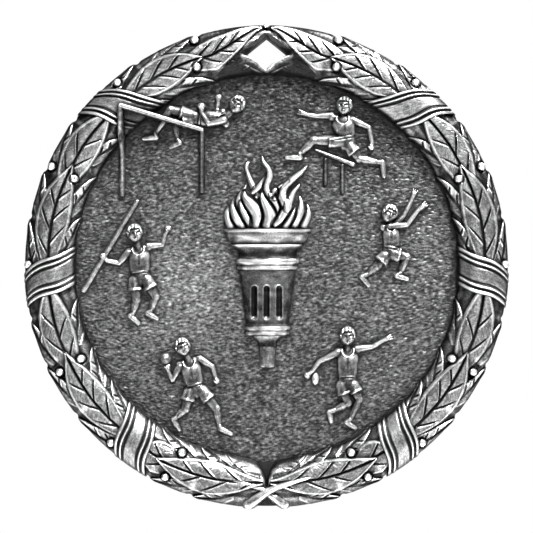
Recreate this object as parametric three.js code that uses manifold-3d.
// A sports finisher medal: a cast disc with a laurel wreath round its edge, a burning torch in the
// middle and six athletes in relief. The medal hangs upright from the ribbon hole at its top: its face
// looks along -Y, its top is +Z, and the origin is the corner of the hole that the ribbon bears on.
// Inside the medal group everything is drawn flat: x to the right, y to the top, z out of the face.
import * as THREE from "three";
import { mergeVertices } from "three/addons/utils/BufferGeometryUtils.js";
import Module from "manifold-3d";

const wasm = await Module();
wasm.setup();

// ---------------------------------------------------------------- driving dimensions (mm, degrees)
const MEDAL_RADIUS = 25.4;
const DISC_THICKNESS = 1.8;
const DISC_INSET = 0.2; // the leaves stand this far out past the disc's edge
const EDGE_CHAMFER = 0.25;
const BACK_RIM_WIDTH = 1.8;
const BACK_RECESS = 0.25;
const DISC_SEGMENTS = 72;

const WREATH_WIDTH = 5.35;
const WREATH_RISE = 2.1; // crest of the wreath above the field
const WREATH_FOOT = 0.6; // height of its upright sides, at the field and at the medal's edge
const LEAF_STEP = 0.22; // the central leaf stands this far over the side leaves
const MIDRIB_DEPTH = 0.2;
const LEAF_EDGE = 0.62; // side of the central leaf, as a share of half the wreath's width
const BAND_PROUD = 0.2; // a ribbon band over the leaves beside it
const RAIL_PROUD = 0.16; // the rolled edges of a band over its middle
const BERRY_RADIUS = 0.46;
const STEM_RADIUS = 0.85;
const STEM_RISE = 1.15;

const HOLE_HALF_WIDTH = 2.3;
const HOLE_UP = 1.85; // from the side corners to the top corner
const HOLE_DOWN = 1.55; // from the side corners to the bottom corner
const METAL_OVER_HOLE = 1.3;

const DRAWN_FIELD_RADIUS = 20.05; // the field that the torch and the athletes are drawn to fit
const FIGURE_FLATTEN = 0.8;
const FIGURE_LIFT = 0.12;
const TORCH_FLATTEN = 0.42;
const FLAME_RISE = 0.95;
const EQUIPMENT_RISE = 0.5;

const BAR_WIDTH = 0.44;
const BAR_STEPS = 8;
const BAR_SINK = 0.15; // into what a bar lies over
const JAVELIN_WIDTH = 0.62;
const SHOT_RADIUS = 0.53;
const DISCUS = { across: 0.36, along: 0.66 };
const CROSSBAR = [[-15.3, 16.7], [-6.6, 14.35]];
const STAND_POSTS = { left: { x: -15.17, foot: 7.35 }, right: { x: -6.8, foot: 7.73 } };
const JAVELIN = [[-13.62, 6.92], [-19.17, -2.61]];

const SEAT_GAP = 0.02; // between a raised piece and the disc it is cast on
const JOINT_GAP = 0.06; // between neighbours along the wreath and along the torch
const CLEARANCE = 0.1; // between a piece of equipment and the athlete who uses it

// ---------------------------------------------------------------- sizes that follow from them
const FIELD_RADIUS = MEDAL_RADIUS - WREATH_WIDTH;
const FIELD_Z = DISC_THICKNESS;
const SEAT_Z = FIELD_Z + SEAT_GAP;
const HOLE_TOP = MEDAL_RADIUS - METAL_OVER_HOLE;
const HOLE_SIDE = HOLE_TOP - HOLE_UP;
const HOLE_BOTTOM = HOLE_SIDE - HOLE_DOWN;
const ARTWORK_SCALE = FIELD_RADIUS / DRAWN_FIELD_RADIUS;
const TALL = 4 * (WREATH_RISE + DISC_THICKNESS); // taller than anything on the medal

// ---------------------------------------------------------------- materials
const FINISHES = {
  field: { color: 0x5f6163, roughness: 0.62 },
  wreath: { color: 0xa2a4a6, roughness: 0.36 },
  band: { color: 0xb4b6b8, roughness: 0.28 },
  torch: { color: 0x9a9c9e, roughness: 0.34 },
  athlete: { color: 0xaeb0b2, roughness: 0.36 },
};

function finish(name) {
  return new THREE.MeshStandardMaterial({ metalness: 0.9, ...FINISHES[name] });
}

// ---------------------------------------------------------------- solids
function solidOf(geometry) {
  const bare = geometry.clone();
  bare.deleteAttribute("normal");
  bare.deleteAttribute("uv");
  const merged = mergeVertices(bare, 1e-4);
  return new wasm.Manifold(
    new wasm.Mesh({
      numProp: 3,
      vertProperties: merged.attributes.position.array,
      triVerts: new Uint32Array(merged.index.array),
    }),
  );
}

function meshOf(name, solid, finishName) {
  const made = solid.getMesh();
  const geometry = new THREE.BufferGeometry();
  geometry.setAttribute("position", new THREE.BufferAttribute(made.vertProperties, 3));
  geometry.setIndex(new THREE.BufferAttribute(made.triVerts, 1));
  geometry.computeVertexNormals();
  const mesh = new THREE.Mesh(geometry, finish(finishName));
  mesh.name = name;
  return mesh;
}

function joined(solids) {
  return solids.reduce((sum, next) => sum.add(next));
}

// What is left of a solid above the disc's face: the rest of it would be inside the disc.
function raised(solid) {
  const side = 4 * MEDAL_RADIUS;
  const block = new THREE.BoxGeometry(side, side, TALL).translate(0, 0, SEAT_Z + TALL / 2);
  return solid.intersect(solidOf(block));
}

function polar(radius, degrees) {
  const angle = THREE.MathUtils.degToRad(degrees);
  return new THREE.Vector2(radius * Math.cos(angle), radius * Math.sin(angle));
}

// ---------------------------------------------------------------- the disc and its ribbon hole
function holeOutline(grow = 0) {
  return [
    [0, HOLE_TOP + grow],
    [-HOLE_HALF_WIDTH - grow, HOLE_SIDE],
    [0, HOLE_BOTTOM - grow],
    [HOLE_HALF_WIDTH + grow, HOLE_SIDE],
  ].map(([x, y]) => new THREE.Vector2(x, y));
}

function holeCutter(grow) {
  const prism = new THREE.ExtrudeGeometry(new THREE.Shape(holeOutline(grow)), {
    depth: 2 * TALL,
    bevelEnabled: false,
  });
  return solidOf(prism.translate(0, 0, -TALL));
}

function backingDisc() {
  const edge = MEDAL_RADIUS - DISC_INSET;
  const profile = [
    [0, BACK_RECESS],
    [FIELD_RADIUS - BACK_RIM_WIDTH, BACK_RECESS],
    [FIELD_RADIUS, 0],
    [edge - EDGE_CHAMFER, 0],
    [edge, EDGE_CHAMFER],
    [edge, FIELD_Z],
    [0, FIELD_Z],
  ].map(([x, y]) => new THREE.Vector2(x, y));
  const turned = new THREE.LatheGeometry(profile, DISC_SEGMENTS).rotateX(Math.PI / 2);
  return meshOf("backing_disc", solidOf(turned).subtract(holeCutter(0)), "field");
}

// ---------------------------------------------------------------- the wreath
// A place on the wreath is an angle, counted from +x, and t: -1 at the field, 0 on the crest, +1 at the
// medal's edge. A boundary is a function from t to an angle. The left half is drawn; the right half is
// its mirror image.
function wreathRadius(t) {
  return FIELD_RADIUS + ((t + 1) * WREATH_WIDTH) / 2;
}

function wreathHeight(t) {
  return WREATH_FOOT + (WREATH_RISE - WREATH_FOOT) * Math.sqrt(Math.max(0, 1 - t * t));
}

// The surface that the artwork lies on: the flat field, then the wreath with its bands.
function groundRise(radius) {
  if (radius < FIELD_RADIUS) return 0;
  return wreathHeight(((radius - FIELD_RADIUS) * 2) / WREATH_WIDTH - 1) + LEAF_STEP + BAND_PROUD;
}

function gapAngle(gap) {
  return THREE.MathUtils.radToDeg(gap / (FIELD_RADIUS + WREATH_WIDTH / 2));
}

// A straight edge of a ribbon band, which crosses the wreath at a slant.
function bandEdge(inner, outer) {
  return (t) => inner + ((t + 1) / 2) * (outer - inner);
}

// The front of a tier of three leaves: the central tip leads, its shoulders fall back, and the two side
// leaves reach forward again along the wreath's inner and outer edges.
function leafTips(tip, shoulder) {
  return (t) => {
    const across = Math.abs(t);
    if (across <= LEAF_EDGE) return tip + (across / LEAF_EDGE) * shoulder;
    return tip + ((1 - across) / (1 - LEAF_EDGE)) * shoulder;
  };
}

// A stretch of the wreath between two boundaries: a box, subdivided and bent onto it. rise(s, t) is the
// height above the field, with s from 0 at the first boundary to 1 at the second.
function wreathStretch(from, to, places, steps, rise) {
  const across = places.length - 1;
  const box = new THREE.BoxGeometry(steps, across, 1, steps, across, 1);
  const points = box.attributes.position;
  const half = gapAngle(JOINT_GAP) / 2;
  for (let i = 0; i < points.count; i += 1) {
    const s = (points.getX(i) + steps / 2) / steps;
    const t = places[Math.round(points.getY(i) + across / 2)];
    const angle = THREE.MathUtils.lerp(from(t) + half, to(t) - half, s);
    const place = polar(wreathRadius(t), angle);
    const z = points.getZ(i) > 0 ? FIELD_Z + rise(s, t) : SEAT_Z;
    points.setXYZ(i, place.x, place.y, z);
  }
  const solid = solidOf(box);
  if (solid.volume() > 0) return solid;
  box.setIndex([...box.index.array].reverse());
  return solidOf(box);
}

const LEAF_PLACES = [-1, -0.85, -0.66, -LEAF_EDGE, -0.3, 0, 0.3, LEAF_EDGE, 0.66, 0.85, 1];
const BAND_PLACES = [-1, -0.8, -0.4, 0, 0.4, 0.8, 1];

function leafRise(s, t) {
  const crown = wreathHeight(t);
  if (t === 0) return crown + LEAF_STEP - MIDRIB_DEPTH;
  return Math.abs(t) <= LEAF_EDGE ? crown + LEAF_STEP : crown;
}

const BAND_STEPS = 8;
const BAND_PROFILE = [1, 1, 0, 0, 0, 0, 0, 1, 1]; // rolled edge, flat middle, rolled edge

function bandRise(s, t) {
  const rail = RAIL_PROUD * BAND_PROFILE[Math.round(s * BAND_STEPS)];
  return wreathHeight(t) + LEAF_STEP + BAND_PROUD + rail;
}

function berry([radius, angle]) {
  const t = ((radius - FIELD_RADIUS) * 2) / WREATH_WIDTH - 1;
  const place = polar(radius, angle);
  const ball = new THREE.SphereGeometry(BERRY_RADIUS, 6, 4);
  return raised(solidOf(ball.translate(place.x, place.y, FIELD_Z + wreathHeight(t))));
}

const APEX_GAP = 0.3;
const apex = () => 90 + APEX_GAP / 2;

// Where the free leaf tips lie round the wreath, and how far their shoulders fall back.
const TIPS = { second: 106.8, fourth: 152.2, sixth: 203, eighth: 239.8 };
const SHOULDER = 9.5;
const LAST_SHOULDER = 11;
const secondTips = leafTips(TIPS.second, SHOULDER);
const fourthTips = leafTips(TIPS.fourth, SHOULDER);
const sixthTips = leafTips(TIPS.sixth, SHOULDER);
const eighthTips = leafTips(TIPS.eighth, LAST_SHOULDER);

const bandEdges = [
  [bandEdge(120.8, 133.4), bandEdge(134.5, 141.4)],
  [bandEdge(173.5, 181.5), bandEdge(185.4, 189.9)],
  [bandEdge(224, 231.1), bandEdge(235, 240.3)],
];
// The last tier narrows into the stem.
const lastTierEnd = (t) => 268.6 - 6 * t * t;

// A pair of berries lies beside each free tip, and one berry in front of each band's outer end.
const OUTER_BERRY = MEDAL_RADIUS - 0.75;
const INNER_BERRY = FIELD_RADIUS + 1.85;
const LOW_BERRY = FIELD_RADIUS + 1.35;

function tipBerries(tip, innerRadius) {
  return [[OUTER_BERRY, tip + 1], [innerRadius, tip + 1.5]];
}

function bandBerry([edge]) {
  return [[OUTER_BERRY, edge(1) - 4]];
}

const TIERS = [
  { from: apex, to: secondTips, berries: tipBerries(TIPS.second, INNER_BERRY) },
  { from: secondTips, to: bandEdges[0][0], berries: bandBerry(bandEdges[0]) },
  { from: bandEdges[0][1], to: fourthTips, berries: tipBerries(TIPS.fourth, INNER_BERRY) },
  { from: fourthTips, to: bandEdges[1][0], berries: bandBerry(bandEdges[1]) },
  { from: bandEdges[1][1], to: sixthTips, berries: tipBerries(TIPS.sixth, LOW_BERRY) },
  { from: sixthTips, to: bandEdges[2][0], berries: bandBerry(bandEdges[2]) },
  { from: bandEdges[2][1], to: eighthTips, berries: tipBerries(TIPS.eighth + 2.5, LOW_BERRY) },
  { from: eighthTips, to: lastTierEnd, berries: [] },
];
const LEAF_STEPS = 3;

function leafTier({ from, to, berries }) {
  const bed = wreathStretch(from, to, LEAF_PLACES, LEAF_STEPS, leafRise);
  return joined([bed, ...berries.map(berry)]);
}

function ribbonBand([from, to]) {
  return wreathStretch(from, to, BAND_PLACES, BAND_STEPS, bandRise);
}

// ---------------------------------------------------------------- the crossing stems
// Each stem leaves the last tier of its own side and ends past the crossing. The right one lies over.
const CROSSING_Y = -(MEDAL_RADIUS - 2.2);
const STEM_END = { x: 2.05, y: -(MEDAL_RADIUS - 0.85) };
const STEM_START = { x: 2.1, y: -(MEDAL_RADIUS - 2.75) };

function stemPath(side) {
  return new THREE.CatmullRomCurve3([
    new THREE.Vector3(side * STEM_START.x, STEM_START.y, 0),
    new THREE.Vector3(0, CROSSING_Y, 0),
    new THREE.Vector3(-side * STEM_END.x, STEM_END.y, 0),
  ]);
}

function alongStem(side, section) {
  const swept = new THREE.ExtrudeGeometry(section, {
    steps: 8,
    curveSegments: 5,
    extrudePath: stemPath(side),
  });
  return solidOf(swept.translate(0, 0, FIELD_Z));
}

function stem(side, rise, radius) {
  return alongStem(side, new THREE.Shape().absellipse(0, 0, rise, radius, 0, 2 * Math.PI));
}

function stems() {
  const under = stem(-1, STEM_RISE / 2, STEM_RADIUS);
  const underGrown = stem(-1, STEM_RISE / 2 + JOINT_GAP, STEM_RADIUS + JOINT_GAP);
  const over = stem(1, STEM_RISE, STEM_RADIUS).subtract(underGrown);
  return { left_stem: raised(under), right_stem: raised(over) };
}

// A slot as wide as the stems and taller than they are, for the leaves to end at.
function stemRoom() {
  const side = STEM_RADIUS + JOINT_GAP;
  const wall = new THREE.Shape();
  wall.moveTo(-TALL, -side);
  wall.lineTo(TALL, -side);
  wall.lineTo(TALL, side);
  wall.lineTo(-TALL, side);
  wall.closePath();
  return alongStem(-1, wall).add(alongStem(1, wall));
}

// The groove in the wreath that the high-jump stand lies in.
function standRoom() {
  const bars = [standPost(STAND_POSTS.left), CROSSBAR].map((ends) => {
    const room = barGeometry(...ends, BAR_WIDTH, TALL, CLEARANCE);
    return solidOf(room.scale(ARTWORK_SCALE, ARTWORK_SCALE, 1));
  });
  return joined(bars);
}

function wreath() {
  const group = new THREE.Group();
  const stemParts = stems();
  const hole = holeCutter(0);
  const room = stemRoom();
  const stand = standRoom();
  [["left", 1], ["right", -1]].forEach(([side, mirror]) => {
    const half = new THREE.Group();
    half.scale.x = mirror;
    const cut = (solid) => (side === "left" ? solid.subtract(stand) : solid);
    TIERS.forEach((tier, i) => {
      const first = i === 0;
      const last = i === TIERS.length - 1;
      let solid = leafTier(tier);
      if (first) solid = solid.subtract(hole);
      if (last) solid = solid.subtract(room);
      half.add(meshOf(`${side}_leaf_tier_${i + 1}`, cut(solid), "wreath"));
    });
    bandEdges.forEach((edges, i) => {
      half.add(meshOf(`${side}_ribbon_band_${i + 1}`, cut(ribbonBand(edges)), "band"));
    });
    group.add(half);
  });
  Object.entries(stemParts).forEach(([name, solid]) => group.add(meshOf(name, solid, "wreath")));
  return group;
}

// ---------------------------------------------------------------- the torch
const TORCH_X = 0.1;
// Each part of the torch by name: its outline from the bottom up, as half-width and height.
const TORCH_PARTS = {
  torch_handle_end: [[0.89, -10.63], [0.89, -8.39]],
  torch_handle_cone: [[1.0, -8.39], [1.55, -7.24]],
  torch_lower_collar: [[2.1, -7.24], [2.35, -6.95], [2.2, -6.72], [2.4, -6.5], [2.2, -6.2]],
  torch_fluted_body: [[2.24, -6.2], [2.97, -0.42]],
  torch_upper_collar: [[2.95, -0.42], [3.1, 0.0], [3.05, 0.2], [3.35, 0.5], [3.05, 0.88]],
  torch_bowl: [[3.16, 0.88], [3.3, 1.6], [3.78, 2.32]],
  torch_rim: [[3.78, 2.32], [4.3, 2.9], [4.5, 3.6], [4.63, 3.7], [4.63, 3.94]],
};
const TORCH_SEGMENTS = 16;
const FLUTED_RADIUS = 2.6; // of the torch's body, half-way up its flutes
const FLUTE = { halfWidth: 0.37, bottom: -5.5, top: -1.9, depth: 0.45 };
const FLUTE_PLACES = [-1.45, 0, 1.45];

function turnedPart(outline) {
  const gap = JOINT_GAP / 2;
  const lowest = outline[0][1] + gap;
  const highest = outline[outline.length - 1][1] - gap;
  const profile = [
    new THREE.Vector2(0, lowest),
    ...outline.map(([x, y]) => new THREE.Vector2(x, THREE.MathUtils.clamp(y, lowest, highest))),
    new THREE.Vector2(0, highest),
  ];
  const turned = new THREE.LatheGeometry(profile, TORCH_SEGMENTS);
  turned.scale(1, 1, TORCH_FLATTEN).translate(TORCH_X, 0, FIELD_Z);
  return raised(solidOf(turned));
}

// A round-ended slot, sunk into the body from its front.
function flute(x) {
  const { halfWidth, bottom, top, depth } = FLUTE;
  const slot = new THREE.Shape();
  slot.absarc(0, top - halfWidth, halfWidth, 0, Math.PI);
  slot.absarc(0, bottom + halfWidth, halfWidth, Math.PI, 2 * Math.PI);
  const front = TORCH_FLATTEN * Math.sqrt(FLUTED_RADIUS ** 2 - x ** 2);
  const cutter = new THREE.ExtrudeGeometry(slot, {
    depth: TALL,
    bevelEnabled: false,
    curveSegments: 6,
  });
  return solidOf(cutter.translate(TORCH_X + x, 0, FIELD_Z + front - depth));
}

// A tongue of flame: wide at its foot, bent through its waist, and drawn out to a tip.
function tongue({ foot, waist, tip, halfWidth, rise }) {
  const outline = new THREE.Shape();
  outline.moveTo(foot[0] - halfWidth, foot[1]);
  outline.quadraticCurveTo(waist[0] - halfWidth, waist[1], tip[0], tip[1]);
  outline.quadraticCurveTo(waist[0] + halfWidth, waist[1], foot[0] + halfWidth, foot[1]);
  outline.closePath();
  const flame = new THREE.ExtrudeGeometry(outline, {
    depth: rise,
    bevelEnabled: false,
    curveSegments: 6,
  });
  return solidOf(flame.translate(0, 0, SEAT_Z));
}

const FLAME_FOOT = 3.94 + JOINT_GAP / 2;
const TONGUES = [
  { foot: [-3.3, FLAME_FOOT], waist: [-4.4, 5.3], tip: [-3.9, 6.6], halfWidth: 0.6, rise: 0.6 },
  { foot: [-2.5, FLAME_FOOT], waist: [-4.0, 6.0], tip: [-3.0, 7.8], halfWidth: 0.75, rise: 0.8 },
  { foot: [-1.2, FLAME_FOOT], waist: [-2.9, 7.2], tip: [-1.8, 11.0], halfWidth: 0.9, rise: FLAME_RISE },
  { foot: [0.1, FLAME_FOOT], waist: [1.6, 7.4], tip: [-0.5, 11.5], halfWidth: 0.95, rise: FLAME_RISE },
  { foot: [1.3, FLAME_FOOT], waist: [1.3, 7.2], tip: [4.2, 10.4], halfWidth: 0.95, rise: FLAME_RISE },
  { foot: [2.4, FLAME_FOOT], waist: [2.4, 6.6], tip: [3.4, 8.4], halfWidth: 0.75, rise: 0.8 },
  { foot: [3.4, FLAME_FOOT], waist: [4.3, 5.4], tip: [4.3, 6.4], halfWidth: 0.6, rise: 0.6 },
];

function torch() {
  const group = new THREE.Group();
  Object.entries(TORCH_PARTS).forEach(([name, outline]) => {
    let solid = turnedPart(outline);
    if (name === "torch_fluted_body") {
      solid = FLUTE_PLACES.reduce((body, x) => body.subtract(flute(x)), solid);
    }
    group.add(meshOf(name, solid, "torch"));
  });
  group.add(meshOf("torch_flame", joined(TONGUES.map(tongue)), "torch"));
  return group;
}

// ---------------------------------------------------------------- the athletes
const LIMB_SIDES = 6;
const END_ROUNDING = { in: 0.86, along: 0.5 }; // of a limb's end, as shares of its radius

// A round limb from one point to another, thick at each end as given, and pressed flat by FIGURE_FLATTEN.
function limb([ax, ay], [bx, by], startRadius, endRadius, grow = 0) {
  const r0 = startRadius + grow;
  const r1 = endRadius + grow;
  const length = Math.hypot(bx - ax, by - ay);
  const profile = [
    [0, -r0],
    [END_ROUNDING.in * r0, -END_ROUNDING.along * r0],
    [END_ROUNDING.in * r1, length + END_ROUNDING.along * r1],
    [0, length + r1],
  ].map(([x, y]) => new THREE.Vector2(x, y));
  const turned = new THREE.LatheGeometry(profile, LIMB_SIDES);
  turned.rotateZ(Math.atan2(by - ay, bx - ax) - Math.PI / 2);
  turned.scale(1, 1, FIGURE_FLATTEN).translate(ax, ay, FIELD_Z + FIGURE_LIFT);
  return solidOf(turned);
}

const HEAD_RADIUS = 0.82;
const NECK_RADIUS = 0.36;
const CHEST_RADIUS = 1.05;
const WAIST_RADIUS = 0.9;
const ARM = { shoulder: 0.44, elbow: 0.36, hand: 0.34 };
const LEG = { hip: 0.7, knee: 0.48, ankle: 0.34 };
const SHOE = { heel: 0.4, toe: 0.3 };

// An athlete is a head, a trunk of two stretches, two arms and two legs, each through its own joints.
const ATHLETES = {
  high_jumper: {
    head: [-3.07, 17.03],
    trunk: [[-3.9, 15.9], [-5.2, 15.75], [-7.5, 15.75]],
    arms: [
      [[-4.4, 15.5], [-6.0, 15.3], [-6.75, 16.9]],
      [[-4.6, 16.1], [-5.13, 16.8], [-5.04, 17.8]],
    ],
    legs: [
      [[-8.0, 15.9], [-10.2, 16.45], [-11.7, 13.5], [-13.1, 13.4]],
      [[-8.3, 15.7], [-9.5, 15.9], [-9.3, 13.0], [-10.2, 12.5]],
    ],
  },
  hurdler: {
    head: [8.18, 16.86],
    trunk: [[8.1, 15.9], [8.1, 15.0], [8.4, 13.4]],
    arms: [
      [[7.2, 15.5], [5.21, 15.7], [3.75, 16.1]],
      [[9.0, 15.2], [10.7, 14.5], [11.0, 12.6]],
    ],
    legs: [
      [[7.9, 13.2], [4.9, 13.3], [3.5, 11.45], [2.0, 11.4]],
      [[8.7, 12.8], [9.7, 11.7], [12.15, 10.9], [12.35, 9.3]],
    ],
  },
  javelin_thrower: {
    head: [-13.82, 3.51],
    trunk: [[-13.5, 2.4], [-13.3, 1.5], [-13.1, -0.9]],
    arms: [
      [[-14.2, 1.6], [-15.4, 0.35], [-16.5, 0.75]],
      [[-12.7, 2.0], [-10.95, 2.25], [-10.35, 3.9]],
    ],
    legs: [
      [[-13.6, -1.4], [-13.7, -3.5], [-14.3, -5.2], [-13.4, -6.0]],
      [[-12.7, -1.4], [-11.7, -3.2], [-12.4, -4.9], [-11.4, -5.5]],
    ],
  },
  long_jumper: {
    head: [12.93, 5.58],
    trunk: [[13.1, 4.6], [13.1, 3.6], [13.0, 1.5]],
    arms: [
      [[13.4, 4.5], [14.5, 5.2], [15.55, 7.8]],
      [[13.5, 4.1], [15.0, 4.4], [16.7, 6.4]],
    ],
    legs: [
      [[13.3, 1.4], [14.7, 0.95], [13.7, -1.0], [14.9, -1.4]],
      [[12.6, 1.2], [11.6, -0.05], [10.0, -1.1], [10.75, -2.1]],
    ],
  },
  shot_putter: {
    head: [-8.79, -8.42],
    trunk: [[-8.3, -9.6], [-8.0, -10.4], [-7.6, -12.7]],
    arms: [
      [[-8.9, -10.2], [-9.8, -11.7], [-10.35, -10.75]],
      [[-7.2, -9.9], [-5.7, -10.6], [-5.3, -12.0]],
    ],
    legs: [
      [[-8.1, -13.0], [-8.5, -15.0], [-9.8, -16.1], [-9.1, -17.2]],
      [[-7.1, -13.0], [-5.3, -15.0], [-4.9, -17.1], [-3.6, -17.65]],
    ],
  },
  discus_thrower: {
    head: [8.51, -7.29],
    trunk: [[8.5, -8.5], [8.5, -9.4], [8.5, -11.9]],
    arms: [
      [[7.7, -9.1], [5.4, -10.0], [4.3, -11.4]],
      [[9.3, -8.8], [11.2, -8.4], [13.1, -7.55]],
    ],
    legs: [
      [[8.2, -12.2], [8.6, -14.4], [6.6, -15.3], [6.85, -16.4]],
      [[9.0, -12.2], [9.7, -14.0], [8.4, -16.4], [9.4, -17.1]],
    ],
  },
};

function athlete({ head, trunk: [neck, chest, hips], arms, legs }, grow = 0) {
  const pieces = [
    limb(head, head, HEAD_RADIUS, HEAD_RADIUS, grow),
    limb(head, neck, NECK_RADIUS, NECK_RADIUS, grow),
    limb(neck, chest, NECK_RADIUS, CHEST_RADIUS, grow),
    limb(chest, hips, CHEST_RADIUS, WAIST_RADIUS, grow),
  ];
  arms.forEach(([shoulder, elbow, hand]) => {
    pieces.push(limb(shoulder, elbow, ARM.shoulder, ARM.elbow, grow));
    pieces.push(limb(elbow, hand, ARM.elbow, ARM.hand, grow));
  });
  legs.forEach(([hip, knee, heel, toe]) => {
    pieces.push(limb(hip, knee, LEG.hip, LEG.knee, grow));
    pieces.push(limb(knee, heel, LEG.knee, LEG.ankle, grow));
    pieces.push(limb(heel, toe, SHOE.heel, SHOE.toe, grow));
  });
  return joined(pieces);
}

// ---------------------------------------------------------------- the athletes' equipment
// An upright of the high-jump stand: from its foot to just under the crossbar that rests on it.
function standPost({ x, foot }) {
  const [[ax, ay], [bx, by]] = CROSSBAR;
  const slope = (by - ay) / (bx - ax);
  const underside = ay + slope * (x - ax) - (BAR_WIDTH / 2) * (Math.hypot(1, slope) + Math.abs(slope));
  return [[x, underside - JOINT_GAP], [x, foot]];
}

// A square bar laid from one point to another over whatever is below it, and sunk a little into that.
function barGeometry([ax, ay], [bx, by], width, rise, grow = 0) {
  const length = Math.hypot(bx - ax, by - ay);
  const angle = Math.atan2(by - ay, bx - ax);
  const box = new THREE.BoxGeometry(1, width + 2 * grow, 1, BAR_STEPS, 1, 1);
  const points = box.attributes.position;
  const place = new THREE.Vector3();
  for (let i = 0; i < points.count; i += 1) {
    const share = points.getX(i) + 0.5;
    const middle = [ax + share * (bx - ax), ay + share * (by - ay)];
    const ground = groundRise(ARTWORK_SCALE * Math.hypot(...middle));
    const sole = ground - BAR_SINK - grow;
    place.set((share - 0.5) * (length + 2 * grow), points.getY(i), 0);
    place.applyAxisAngle(new THREE.Vector3(0, 0, 1), angle);
    const z = FIELD_Z + (points.getZ(i) > 0 ? ground + rise + grow : sole);
    points.setXYZ(i, place.x + (ax + bx) / 2, place.y + (ay + by) / 2, z);
  }
  return box;
}

function bar(from, to, width, rise) {
  return raised(solidOf(barGeometry(from, to, width, rise)));
}

function ball([x, y], radius) {
  return raised(solidOf(new THREE.SphereGeometry(radius, 10, 8).translate(x, y, FIELD_Z + FIGURE_LIFT)));
}

function discus([x, y]) {
  const plate = new THREE.SphereGeometry(1, 10, 8).scale(DISCUS.across, DISCUS.along, DISCUS.along);
  return raised(solidOf(plate.translate(x, y, FIELD_Z)));
}

// Each piece of equipment, and the athlete it is kept clear of.
const EQUIPMENT = {
  high_jump_left_post: {
    beside: "high_jumper",
    make: () => bar(...standPost(STAND_POSTS.left), BAR_WIDTH, EQUIPMENT_RISE),
  },
  high_jump_right_post: {
    beside: "high_jumper",
    make: () => bar(...standPost(STAND_POSTS.right), BAR_WIDTH, EQUIPMENT_RISE),
  },
  high_jump_crossbar: {
    beside: "high_jumper",
    make: () => bar(...CROSSBAR, BAR_WIDTH, EQUIPMENT_RISE + 0.25),
  },
  hurdle_rail: {
    beside: "hurdler",
    make: () => bar([5.04, 12.2], [9.22, 10.75], 0.5, EQUIPMENT_RISE),
  },
  hurdle_left_post: {
    beside: "hurdler",
    make: () => bar([6.22, 11.4], [6.17, 8.5], 0.4, EQUIPMENT_RISE),
  },
  hurdle_right_post: {
    beside: "hurdler",
    make: () => bar([8.0, 10.78], [7.94, 7.6], 0.4, EQUIPMENT_RISE),
  },
  javelin: { make: () => bar(...JAVELIN, JAVELIN_WIDTH, EQUIPMENT_RISE) },
  shot: { beside: "shot_putter", make: () => ball([-10.61, -9.7], SHOT_RADIUS) },
  discus: { beside: "discus_thrower", make: () => discus([5.13, -11.8]) },
};

function athletes() {
  const group = new THREE.Group();
  const javelinRoom = solidOf(barGeometry(...JAVELIN, JAVELIN_WIDTH, TALL, CLEARANCE));
  Object.entries(ATHLETES).forEach(([name, pose]) => {
    const body = athlete(pose);
    const solid = name === "javelin_thrower" ? body.subtract(javelinRoom) : body;
    group.add(meshOf(name, raised(solid), "athlete"));
  });
  Object.entries(EQUIPMENT).forEach(([name, { beside, make }]) => {
    const piece = make();
    const solid = beside ? piece.subtract(athlete(ATHLETES[beside], CLEARANCE)) : piece;
    group.add(meshOf(name, solid, "athlete"));
  });
  return group;
}

// ---------------------------------------------------------------- the whole medal
const artwork = new THREE.Group();
artwork.add(torch(), athletes());
artwork.scale.set(ARTWORK_SCALE, ARTWORK_SCALE, 1);

const medal = new THREE.Group();
medal.add(backingDisc(), wreath(), artwork);
medal.rotation.x = Math.PI / 2;
medal.position.set(0, DISC_THICKNESS / 2, -HOLE_TOP);

const hung = new THREE.Group();
hung.add(medal);

export default hung;
